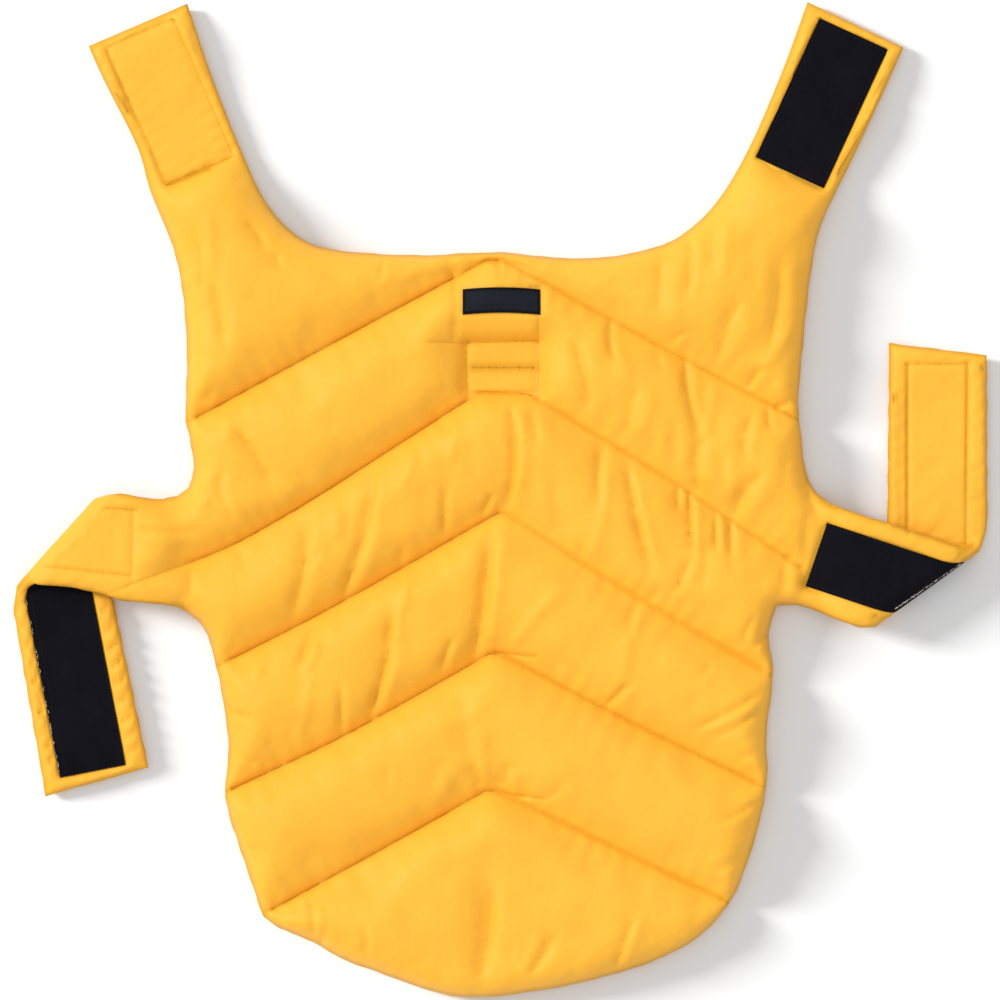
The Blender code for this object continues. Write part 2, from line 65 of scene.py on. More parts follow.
# Stitched rectangles: middle, direction of the length in degrees, length, width.
sewnBoxes = {
    "neckTapeRight": (0.1748, 0.2156, 65.3, 0.0830, 0.0405),
    "neckTapeLeft": (-0.1796, 0.2164, 113.7, 0.0820, 0.0400),
    "label": (0.0008, 0.1080, 90, 0.0138, 0.0420),
    "leashBox": (0.0012, 0.0725, 90, 0.0265, 0.0395),
    "leashSlot": (0.0022, 0.0718, 90, 0.0012, 0.0330)}

# Other sewn lines, in pixels of the photograph: ends, depth in mm, half width in mm, stitched or only
# pressed, darkness of the painted shade along the line.
sewnLines = (
    # above and round the leash slot
    (427, 342, 466, 343, 0.9, 1.8, False, 0.5), (466, 343, 538, 341, 1.6, 1.6, True, 0.6),
    (466, 345, 467, 398, 1.0, 1.4, True, 0.6), (538, 316, 538, 398, 0.9, 1.4, True, 0.5),
    (467, 392, 538, 391, 0.3, 1.4, False, 0.4),
    # tape behind the left band
    (106, 508, 139, 510, 0.9, 1.3, True, 0.7), (134, 512, 133, 575, 0.7, 1.4, True, 0.35),
    (48, 566, 133, 575, 0.8, 1.4, True, 0.5),
    # tape behind the right leg
    (907, 364, 968, 364, 0.9, 1.2, True, 0.6), (907, 364, 907, 531, 1.5, 1.4, True, 1.0),
    (967, 364, 965, 546, 1.2, 1.3, True, 0.9),
    # where two rows part
    (495, 652, 536, 656, 1.1, 1.3, False, 0.6), (493, 791, 544, 798, 1.1, 1.3, False, 0.6))

# The slanted fold of the left band, which stays smooth.
leftFold = np.array([onTable(40, 574), onTable(108, 500)])

# Folds of the outer cloth, in pixels of the photograph: start, end, sideways bow, half width, depth in mm.
# A positive depth is a trough whose left wall is the wide one; a negative depth is a ridge.
folds = (
    # left strap and shoulder
    (197, 240, 200, 296, 2, 9, 1.6), (212, 280, 225, 347, 2, 6, 1.7), (210, 215, 211, 272, 1, 5, -0.9),
    (246, 222, 266, 250, 2, 6, 1.6), (276, 254, 280, 270, 0, 5, 1.2), (365, 272, 376, 305, 2, 8, 1.0),
    (383, 258, 380, 284, 0, 3, 1.5), (402, 260, 406, 278, 0, 3, 0.7), (422, 271, 425, 284, 0, 3, 0.8),
    (452, 273, 455, 341, 2, 4, 1.6), (499, 255, 499, 284, 0, 2, 1.1), (458, 266, 452, 278, 0, 3, 1.0),
    (518, 262, 526, 272, 0, 3, 0.9), (190, 400, 215, 392, 2, 5, 1.0), (200, 356, 226, 362, 1, 5, 0.7),
    # second channel, left
    (237, 430, 273, 482, 2, 5, 2.0), (226, 414, 232, 440, 0, 5, -0.9), (222, 470, 233, 522, -5, 6, 1.4),
    (209, 488, 221, 517, -4, 6, 1.2), (205, 478, 206, 505, 5, 5, -1.2), (330, 405, 334, 430, 0, 8, 0.5),
    (340, 440, 336, 470, 1, 9, 0.6), (300, 470, 306, 498, 0, 8, 0.6), (436, 410, 440, 432, 0, 6, 0.6),
    # second channel, right
    (610, 320, 613, 362, -2, 4, 1.9), (620, 352, 626, 382, 0, 6, -0.9), (574, 345, 588, 408, 2, 6, 2.3),
    (684, 359, 698, 437, -3, 5, 2.4), (713, 382, 704, 440, 2, 5, -1.3), (698, 443, 697, 492, -3, 6, 2.2),
    (705, 440, 697, 448, 0, 3, 1.2), (751, 415, 742, 460, -3, 5, 2.1), (637, 385, 627, 440, -4, 7, 1.5),
    (652, 395, 640, 432, 2, 5, -0.9), (672, 418, 673, 468, 1, 6, 1.3), (662, 430, 661, 468, 0, 5, -0.8),
    (722, 455, 722, 492, 0, 6, 0.8), (733, 450, 731, 492, 0, 5, -0.8), (767, 408, 768, 430, 0, 3, 2.0),
    (762, 472, 732, 518, -5, 7, 2.3), (768, 492, 742, 522, -2, 6, -1.1), (806, 468, 818, 520, -4, 7, 1.8),
    (595, 372, 600, 402, 0, 6, 0.6), (655, 352, 662, 372, 0, 4, 0.8), (786, 440, 782, 486, 0, 7, 0.8),
    # right shoulder and strap
    (687, 238, 687, 296, 2, 5, 1.8), (661, 260, 657, 315, -2, 8, 1.6), (672, 262, 676, 330, 0, 6, -0.8),
    (712, 222, 711, 274, 0, 7, 1.4), (725, 222, 722, 280, 0, 6, -1.0), (778, 262, 764, 352, 5, 9, 1.9),
    (738, 300, 716, 362, -3, 7, 1.9), (750, 322, 724, 366, 3, 6, -1.2), (790, 330, 762, 368, 2, 5, -1.3),
    (759, 368, 746, 388, 0, 5, 2.2), (793, 397, 774, 408, 2, 3, 1.8), (688, 333, 668, 345, -2, 3, 1.2),
    (700, 262, 702, 312, 0, 6, 0.7), (648, 262, 640, 296, 0, 7, 0.6), (800, 236, 803, 300, 0, 8, 1.0),
    (752, 232, 750, 292, 0, 9, 0.8), (620, 272, 614, 292, 0, 6, 0.5), (586, 273, 585, 290, 0, 4, 0.6),
    (742, 358, 736, 376, 0, 4, -0.8), (782, 384, 772, 396, 0, 4, -0.8),
    # third channel, left
    (376, 483, 342, 597, 4, 6, 2.7), (384, 462, 366, 536, 2, 4, -1.4), (415, 443, 402, 488, 2, 4, -1.0),
    (456, 418, 450, 464, 1, 4, -1.1), (445, 488, 444, 534, 0, 4, 1.9), (493, 493, 482, 514, 0, 4, 1.6),
    (306, 518, 292, 617, 5, 7, 2.2), (320, 551, 305, 567, 0, 4, 1.3), (334, 497, 339, 540, 0, 5, -0.8),
    (403, 545, 400, 563, 0, 4, 1.2), (192, 570, 191, 598, 0, 4, 1.4), (180, 601, 209, 634, -4, 4, 1.3),
    (243, 550, 242, 566, 0, 5, 0.6), (350, 500, 346, 540, 0, 6, 0.6), (428, 480, 424, 530, 0, 7, 0.7),
    (262, 530, 256, 560, 0, 6, 0.5), (470, 440, 474, 480, 0, 7, 0.8),
    # third channel, middle and right
    (511, 408, 506, 509, 6, 5, 2.9), (517, 412, 514, 500, 5, 4, -1.2), (529, 408, 535, 448, 2, 6, 1.4),
    (542, 465, 547, 530, 0, 5, -0.8), (601, 446, 597, 503, -1, 5, 1.9), (608, 470, 604, 520, 0, 4, -0.8),
    (626, 465, 652, 577, -2, 5, 2.3), (636, 480, 658, 570, -2, 4, -0.8), (689, 494, 692, 553, -1, 3, 2.8),
    (697, 506, 694, 550, 2, 4, -1.2), (692, 556, 677, 592, -2, 5, 2.0), (677, 488, 678, 512, 0, 3, 1.6),
    (715, 512, 715, 548, 0, 3, 2.1), (722, 520, 722, 572, 0, 4, -1.0), (730, 522, 730, 556, 0, 3, 2.0),
    (705, 545, 702, 590, 0, 5, 0.9), (740, 530, 742, 580, 0, 6, -0.7), (754, 616, 742, 646, -3, 4, 1.7),
    (766, 635, 752, 647, 0, 3, 1.6), (605, 512, 590, 557, 1, 5, -1.0), (581, 543, 580, 560, 0, 3, 1.0),
    (560, 480, 556, 520, 0, 8, 0.6), (782, 560, 778, 612, 2, 6, 1.2), (806, 512, 801, 600, 0, 5, 1.2),
    (795, 540, 784, 580, -3, 5, 1.1),
    # fourth channel
    (490, 528, 474, 657, 3, 7, 3.0), (498, 536, 490, 640, 2, 4, -0.9), (392, 613, 371, 713, 5, 5, 3.0),
    (401, 600, 384, 660, 3, 4, -1.1), (408, 570, 405, 608, 0, 3, -1.1), (452, 638, 441, 668, 0, 4, 2.1),
    (311, 622, 299, 668, 2, 4, 2.0), (318, 640, 306, 672, 1, 4, -0.8), (341, 685, 342, 733, 0, 4, 1.9),
    (312, 674, 299, 738, 2, 4, -1.0), (224, 701, 252, 718, -2, 3, 1.5), (240, 754, 258, 763, 0, 3, 0.9),
    (266, 652, 256, 678, 1, 4, -1.0), (336, 610, 332, 632, 0, 4, -0.6), (275, 720, 270, 748, 0, 6, 0.7),
    (563, 588, 511, 648, -3, 5, -1.4), (628, 683, 604, 707, 0, 4, 2.0), (711, 664, 694, 679, 0, 4, 1.1),
    (764, 688, 696, 727, 2, 4, 1.9), (762, 700, 712, 728, 2, 4, -1.0), (764, 705, 718, 734, 2, 4, 1.4),
    (642, 608, 620, 682, -3, 5, -1.0), (634, 606, 628, 640, 0, 4, 0.9), (755, 752, 738, 757, 0, 4, 0.9),
    (700, 692, 688, 708, 0, 5, 0.7), (660, 640, 652, 668, 0, 7, 0.6), (575, 660, 568, 690, 0, 8, 0.5),
    # fifth channel
    (462, 690, 468, 752, -3, 10, 1.2), (480, 726, 485, 778, 0, 5, -1.3), (472, 764, 482, 784, 0, 4, 1.7),
    (508, 762, 502, 786, 0, 5, 1.6), (518, 770, 513, 786, 0, 4, -0.7), (564, 778, 545, 799, 2, 5, 1.1),
    (387, 765, 387, 787, 0, 4, 0.9), (440, 760, 430, 790, 0, 7, 0.8), (758, 799, 722, 818, 2, 4, 1.8),
    (756, 808, 728, 824, 1, 4, -0.8), (742, 858, 712, 869, 0, 5, 1.0), (246, 845, 279, 855, -1, 3, 1.0),
    (254, 860, 284, 866, 0, 4, 0.6), (300, 760, 297, 784, 0, 6, 0.5), (620, 770, 612, 796, 0, 9, 0.5),
    # hem
    (491, 885, 480, 980, 3, 10, 2.2), (502, 890, 487, 978, 3, 5, -1.2), (310, 898, 314, 936, 0, 4, 2.2),
    (326, 926, 319, 944, 0, 4, 1.7), (366, 924, 366, 955, 0, 4, 1.3), (320, 904, 324, 924, 0, 4, -0.7),
    (553, 933, 529, 972, 2, 6, 1.7), (541, 930, 520, 975, 2, 5, -0.8), (512, 944, 509, 959, 0, 4, 1.0),
    (634, 909, 614, 967, 1, 4, 1.6), (641, 915, 624, 962, 1, 4, -0.7), (662, 944, 666, 957, 0, 4, 1.1),
    (430, 930, 424, 962, 0, 7, 0.6), (580, 948, 572, 972, 0, 6, 0.7), (700, 905, 690, 925, 0, 6, 0.7),
    # belly bands
    (943, 545, 959, 546, 0, 3, 1.0), (914, 532, 928, 536, 0, 4, 0.8), (922, 526, 942, 504, 2, 6, -0.7),
    (970, 470, 984, 469, 0, 3, 0.7), (969, 501, 983, 498, 0, 3, 0.7), (930, 400, 948, 398, 0, 5, 0.4),
    (893, 440, 904, 438, 0, 4, 0.6), (892, 482, 904, 486, 0, 4, 0.6), (920, 470, 944, 462, 2, 8, 0.5),
    (37, 640, 25, 646, 0, 4, 1.4), (44, 676, 33, 682, 0, 4, 1.4), (50, 708, 38, 713, 0, 4, 1.4),
    (57, 742, 45, 748, 0, 4, 1.4), (101, 612, 112, 604, 0, 4, 1.6), (108, 650, 120, 642, 0, 4, 1.6),
    (114, 684, 128, 676, 0, 4, 1.6), (122, 722, 135, 714, 0, 4, 1.6), (128, 752, 142, 744, 0, 4, 1.6),
    (31, 622, 21, 627, 0, 4, 1.2), (41, 659, 30, 664, 0, 4, 1.3), (60, 757, 49, 761, 0, 4, 1.3),
    (105, 632, 116, 624, 0, 4, 1.4), (112, 667, 124, 659, 0, 4, 1.5), (118, 702, 131, 695, 0, 4, 1.3),
    (125, 738, 138, 730, 0, 4, 1.4),
    (140, 529, 199, 530, 1, 5, 1.5), (150, 545, 190, 552, 1, 7, 0.7), (112, 530, 118, 556, 0, 8, 0.4),
    (812, 512, 824, 519, 0, 4, 0.9))


def smoothCurve(knots, step=0.0072):
    # a smooth run through the knots, with a point about every step
    knots = np.array(knots, float)
    last = len(knots) - 1
    slopes = []
    for k in range(len(knots)):
        before, after = knots[max(k - 1, 0)], knots[min(k + 1, last)]
        slopes.append((after - before)
                      / (np.linalg.norm(knots[k] - before) + np.linalg.norm(after - knots[k])))
    run = []
    for k in range(last):
        chord = np.linalg.norm(knots[k + 1] - knots[k])
        parts = max(1, round(chord / step))
        for part in range(parts):
            t = part / parts
            run.append((2 * t ** 3 - 3 * t ** 2 + 1) * knots[k]
                       + (t ** 3 - 2 * t ** 2 + t) * chord * slopes[k]
                       + (3 * t ** 2 - 2 * t ** 3) * knots[k + 1]
                       + (t ** 3 - t ** 2) * chord * slopes[k + 1])
    return np.array(run + [knots[-1]])


def boxLine(box, inset=0.0):
    # a stitched rectangle as a closed line
    x, y, turn, length, width = box
    along = np.array((cos(radians(turn)), sin(radians(turn)))) * (length / 2 - inset)
    across = np.array((-sin(radians(turn)), cos(radians(turn)))) * (width / 2 - inset)
    middle = np.array((x, y))
    return np.array([middle + along + across, middle - along + across, middle - along - across,
                     middle + along - across, middle + along + across])


def inBox(box, points, outset=0.0):
    x, y, turn, length, width = box
    away = points - np.array((x, y))
    along = np.abs(away @ np.array((cos(radians(turn)), sin(radians(turn)))))
    across = np.abs(away @ np.array((-sin(radians(turn)), cos(radians(turn)))))
    return (along < length / 2 + outset) & (across < width / 2 + outset)


def nearest(lines, points, reach=0.03):
    # for each point: distance to the nearest line, how far along it that is, on which side, and which line
    starts, ends, places, owners, place = [], [], [], [], 0.0
    for number, line in enumerate(lines):
        for a, b in zip(line[:-1], line[1:]):
            size = np.linalg.norm(b - a)
            parts = max(1, int(np.ceil(size / 0.002)))
            for part in range(parts):
                starts.append(a + (b - a) * part / parts)
                ends.append(a + (b - a) * (part + 1) / parts)
                places.append(place + size * part / parts)
                owners.append(number)
            place += size
        place += 0.037
    starts, ends, places, owners = np.array(starts), np.array(ends), np.array(places), np.array(owners)
    tree = KDTree(len(starts))
    for k, middle in enumerate((starts + ends) / 2):
        tree.insert((middle[0], middle[1], 0), k)
    tree.balance()
    found = np.array([tree.find((x, y, 0))[1] for x, y in points], int)
    best, along = np.full(len(points), reach), np.zeros(len(points))
    side, owner = np.ones(len(points)), owners[found]
    for shift in (0, -1, 1):
        pick = np.clip(found + shift, 0, len(starts) - 1)
        run = ends[pick] - starts[pick]
        size = np.maximum(np.hypot(*run.T), 1e-9)
        t = np.clip(((points - starts[pick]) * run).sum(axis=1) / size ** 2, 0, 1)
        away = points - starts[pick] - t[:, None] * run
        far = np.hypot(*away.T)
        closer = far < best
        best = np.where(closer, far, best)
        along = np.where(closer, places[pick] + t * size, along)
        side = np.where(closer, np.sign(run[:, 0] * away[:, 1] - run[:, 1] * away[:, 0]), side)
        owner = np.where(closer, owners[pick], owner)
    return best, along, side, owner


def ripple(place, spacing, seed):
    # an uneven wave along a line, from about -1 to 1
    wander = 1.9 * np.sin(place / spacing * 0.83 + seed) + 1.3 * np.sin(place / spacing * 0.31 + 2.1 * seed)
    swell = 0.55 + 0.45 * np.sin(place / spacing * 0.47 + 3.7 * seed)
    return swell * np.sin(2 * pi * place / spacing + wander)


def mottle(flat, size, seed):
    # a slow uneven wave over the table, from about -1 to 1
    x, y = flat[:, 0] / size + seed, flat[:, 1] / size - 0.7 * seed
    crossed = np.sin(x + 1.7 * np.sin(0.61 * y + seed)) * np.sin(y + 1.4 * np.sin(0.73 * x))
    return 0.5 * (crossed + np.sin(0.8 * x - 1.1 * y + seed))


def ease(t):
    t = np.clip(t, 0, 1)
    return t * t * (3 - 2 * t)


quiltLines = [smoothCurve(row[:3]) for row in quilting] + [smoothCurve(row[3:]) for row in quilting]
quiltLines += [np.array((row[2], row[3])) for row in quilting]
runOuts = [np.array((line[end], line[end] + (line[end] - line[beside]) * 1.2)) for line, end, beside in
           [(line, 0, 1) for line in quiltLines[:5]] + [(line, -1, -2) for line in quiltLines[5:10]]]
pressedLines = [np.array((onTable(*row[0:2]), onTable(*row[2:4]))) for row in sewnLines]


# ---- working on a piece

def pickOnly(piece):
    bpy.ops.object.select_all(action="DESELECT")
    piece.select_set(True)
    bpy.context.view_layer.objects.active = piece


def copyNode(node, name):
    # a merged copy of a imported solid's mesh, without its own shading
    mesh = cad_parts[node].data.copy()
    piece = bpy.data.objects.new(name, mesh)
    bpy.context.collection.objects.link(piece)
    pickOnly(piece)
    bpy.ops.mesh.customdata_custom_splitnormals_clear()
    bpy.ops.object.mode_set(mode="EDIT")
    bpy.ops.mesh.select_all(action="SELECT")
    bpy.ops.mesh.mark_sharp(clear=True)
    bpy.ops.mesh.remove_doubles(threshold=0.00001)
    bpy.ops.object.mode_set(mode="OBJECT")
    mesh.materials.clear()
    return piece


def pointsOf(piece):
    points = np.empty(len(piece.data.vertices) * 3)
    piece.data.vertices.foreach_get("co", points)
    return points.reshape(-1, 3)


def normalsOf(piece):
    normals = np.empty(len(piece.data.vertices) * 3)
    piece.data.vertices.foreach_get("normal", normals)
    return normals.reshape(-1, 3)


def setPoints(piece, points):
    piece.data.vertices.foreach_set("co", np.ascontiguousarray(points, float).ravel())
    piece.data.update()


def edgeEnds(piece):
    ends = np.empty(len(piece.data.edges) * 2, int)
    piece.data.edges.foreach_get("vertices", ends)
    return ends.reshape(-1, 2)


def refine(piece, wanted):
    # halves the wanted edges, so that each triangle on them becomes two, three or four
    mesh = piece.data
    corners, sides = np.empty((2, len(mesh.loops)), int)
    mesh.loops.foreach_get("vertex_index", corners)
    mesh.loops.foreach_get("edge_index", sides)
    ends, points = edgeEnds(piece), pointsOf(piece)
    middle = np.full(len(ends), -1)
    middle[wanted] = len(points) + np.arange(np.count_nonzero(wanted))
    points = np.vstack((points, points[ends[wanted]].mean(axis=1)))
    corners, halves = corners.reshape(-1, 3), middle[sides.reshape(-1, 3)]
    split = halves >= 0
    count = split.sum(axis=1)
    first = np.where(count == 1, split.argmax(axis=1), (1 + (~split).argmax(axis=1)) % 3)
    turn = (first[:, None] + np.arange(3)) % 3
    a, b, c = np.take_along_axis(corners, turn, 1).T
    ab, bc, ca = np.take_along_axis(halves, turn, 1).T
    short = np.linalg.norm(points[a] - points[bc], axis=1) < np.linalg.norm(points[ab] - points[c], axis=1)
    one, three = count == 1, count == 3
    near, far = (count == 2) & short, (count == 2) & ~short
    parts = [(count == 0, (a, b, c)), (one, (a, ab, c)), (one, (ab, b, c)),
             (near | far | three, (ab, b, bc)), (near, (a, ab, bc)), (near, (a, bc, c)),
             (far, (a, ab, c)), (far, (ab, bc, c)),
             (three, (a, ab, ca)), (three, (bc, c, ca)), (three, (ab, bc, ca))]
    faces = np.vstack([np.stack(trio, axis=1)[chosen] for chosen, trio in parts])
    mesh.clear_geometry()
    mesh.from_pydata(points.tolist(), [], faces.tolist())


def swapThin(piece):
    # swaps the shared edges of nearly level pairs of triangles, so that thin ones get broader
    mesh = bmesh.new()
    mesh.from_mesh(piece.data)
    level = [edge for edge in mesh.edges
             if len(edge.link_faces) == 2 and edge.calc_face_angle(1) < radians(3)]
    bmesh.ops.beautify_fill(mesh, faces=mesh.faces, edges=level, method="ANGLE")
    mesh.to_mesh(piece.data)
    mesh.free()


def relax(piece, free, rounds, strength=0.5):
    # evens out the free points, each towards its neighbours
    ends, points = edgeEnds(piece), pointsOf(piece)
    a, b = np.concatenate((ends[:, 0], ends[:, 1])), np.concatenate((ends[:, 1], ends[:, 0]))
    count = np.maximum(np.bincount(a, minlength=len(points)), 1)
    for _ in range(rounds):
        mean = np.stack([np.bincount(a, weights=points[b, k], minlength=len(points)) / count
                         for k in range(3)], axis=1)
        points[free] += strength * (mean - points)[free]
    setPoints(piece, points)


def treeOf(*pieces):
    points, faces = [], []
    for piece in pieces:
        start = len(points)
        points += [tuple(vertex.co) for vertex in piece.data.vertices]
        faces += [tuple(start + k for k in face.vertices) for face in piece.data.polygons]
    return BVHTree.FromPolygons(points, faces)


# ---- quilted panel: outer cloth, wadding and inner cloth

panel = {"pressure": 4, "extraCloth": 0.015, "frames": 20, "cap": 0.004,
         "mesh": 0.0037, "fineMesh": 0.0018, "legShare": 0.75,
         "loft": 0.0125, "loftReach": 0.030, "fullness": 2.9, "edgeFullness": 3.0,
         "grooveDepth": 0.0016, "grooveWidth": 0.0009,
         "pucker": 0.0009, "puckerSpacing": 0.0105, "puckerReach": 0.011,
         "edgePucker": 0.0008, "edgeSpacing": 0.0085, "unevenness": 0.0007,
         "foldWidth": 0.85, "foldDepth": 1.3,
         "bandStart": 0.19, "shoulder": 0.09,         # |x| where the bands begin, y where the straps do
         "onTape": 0.0015, "leastHeight": 0.0018,
         "slotSink": 0.0010, "slotReach": 0.0028,
         # darkness and breadth of the painted shade along each quilting line, left arms and then right arms
         "seamShade": [0.67, 0.54, 0.50, 0.58, 0.58, 0.5, 0.45, 0.35, 0.6, 0.45],
         "seamBreadth": [1.0] * 5 + [1.1, 1.4, 1.5, 1.1, 1.4], "otherShade": 0.5}

covers = ("tape_neck_right", "tape_band_left", "tape_band_right", "label_tab")
laidOn = treeOf(*(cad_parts[name] for name in covers))


def fromCovers(points, reach=0.004):
    # distance to the tapes and the label that lie on the cloth
    far = np.full(len(points), reach)
    fromMiddle, fromLabel = np.abs(points[:, 0]), np.abs(points[:, 1] - 0.108)
    near = (fromMiddle > 0.135) | (fromMiddle < 0.03) & (fromLabel < 0.015)
    for k in np.nonzero(near)[0]:
        hit = laidOn.find_nearest(points[k], reach)
        if hit[3] is not None:
            far[k] = hit[3]
    return far


def underBand(piece, points, normals):
    # the cloth that a folded band hides from above
    tree = treeOf(piece)
    hidden = np.zeros(len(points), bool)
    x, y = points[:, 0], points[:, 1]
    bands = (x < -0.19) & (np.abs(y + 0.07) < 0.09) | (x > 0.16) & (np.abs(y) < 0.08)
    for k in np.nonzero(bands)[0]:
        start = Vector(points[k]) + Vector(normals[k]) * 0.0004 + Vector((0, 0, 0.0012))
        hidden[k] = tree.ray_cast(start, Vector((0, 0, 1)), 0.03)[0] is not None
    ends = edgeEnds(piece)
    around = np.bincount(ends.ravel(), hidden[ends[:, ::-1]].ravel(), len(points))
    return hidden & (around > 0.5 * np.bincount(ends.ravel(), minlength=len(points)))


def sewnDown(piece, points, normals):
    # what the stitches, the tapes and the table hold in place
    flat = points[:, :2]
    boxes = [boxLine(sewnBoxes[name]) for name in ("neckTapeLeft", "leashBox")]
    far = nearest(quiltLines + boxes, flat)[0]
    held = (points[:, 2] < 0.0008) | (normals[:, 2] < 0.35) | (far < 0.0006)
    held |= inBox(sewnBoxes["leashSlot"], flat, 0.002) | (fromCovers(points) < panel["onTape"])
    held |= underBand(piece, points, normals)
    return held


def stuff(piece):
    # lets pressure and a little extra cloth fill the channels, with the seams held
    rest = pointsOf(piece).copy()
    held = sewnDown(piece, rest, normalsOf(piece))
    held |= (rest[:, 0] < -0.197) & (rest[:, 1] < 0.05) | (rest[:, 0] > 0.166) & (rest[:, 1] < 0.1)
    group = piece.vertex_groups.new(name="sewn")
    group.add([int(k) for k in np.nonzero(held)[0]], 1.0, "REPLACE")
    cloth = piece.modifiers.new("Stuffing", "CLOTH")
    cloth.settings.vertex_group_mass = "sewn"
    cloth.settings.use_pressure = True
    cloth.settings.uniform_pressure_force = panel["pressure"]
    cloth.settings.shrink_min = -panel["extraCloth"]
    cloth.settings.effector_weights.gravity = 0
    cloth.collision_settings.use_collision = False
    cloth.point_cache.frame_start, cloth.point_cache.frame_end = 1, panel["frames"]
    for step in range(1, panel["frames"] + 1):
        bpy.context.scene.frame_set(step)
    pickOnly(piece)
    bpy.ops.object.modifier_apply(modifier=cloth.name)
    bpy.context.scene.frame_set(1)
    moved = pointsOf(piece) - rest
    size = np.linalg.norm(moved, axis=1, keepdims=True)
    setPoints(piece, rest + moved * np.minimum(1, panel["cap"] / np.maximum(size, 1e-9)))
    piece.vertex_groups.clear()


def turnedEdge(piece):
    # short runs between the points that face sideways, and their heights
    points, normals = pointsOf(piece), normalsOf(piece)
    sideways = (np.abs(normals[:, 2]) < 0.5) & ~inBox(sewnBoxes["leashBox"], points[:, :2], 0.006)
    ends = edgeEnds(piece)
    ends = ends[sideways[ends].all(axis=1)]
    return [points[pair, :2] for pair in ends], points[ends, 2].mean(axis=1)


def foldHeights(points):
    # the folds of the outer cloth, each a bowed line with a wide wall and a narrow one
    height, trough = np.zeros(len(points)), np.zeros(len(points))
    for x1, y1, x2, y2, bow, width, depth in folds:
        width, depth = panel["foldWidth"] * width, panel["foldDepth"] * depth
        start, end = onTable(x1, y1), onTable(x2, y2)
        size = np.linalg.norm(end - start)
        forward = (end - start) / size
        right = np.array((-forward[1], forward[0]))
        if right[0] < 0 or abs(right[0]) < 0.35 and right[1] > 0:
            right = -right
        near = np.nonzero(np.hypot(*(points - (start + end) / 2).T) < 0.75 * size + 5 * width * pixel)[0]
        away = points[near] - start
        t = away @ forward / size
        across = away @ right - bow * pixel * np.sin(pi * np.clip(t, 0, 1))
        wide = width * pixel
        wall = np.where(across < 0, 1.1 * wide, 0.95 * wide) if depth > 0 else 1.35 * wide
        fade = ease((t + 0.12) / 0.34) * ease((1.12 - t) / 0.34)
        height[near] -= (0.8 if depth > 0 else 0.9) * depth * 0.001 * fade * np.exp(-(across / wall) ** 2)
        if depth > 1:
            height[near] += 0.25 * depth * 0.001 * fade * np.exp(-((across - 2.2 * wide) / (1.5 * wide)) ** 2)
            # a mask for painted shade along the bottom of each deeper trough
            line = min(1, 0.4 * (depth - 0.7)) * fade * np.exp(-(across / max(0.3 * wide, 0.0011)) ** 2)
            trough[near] = np.maximum(trough[near], line)
    return height, trough


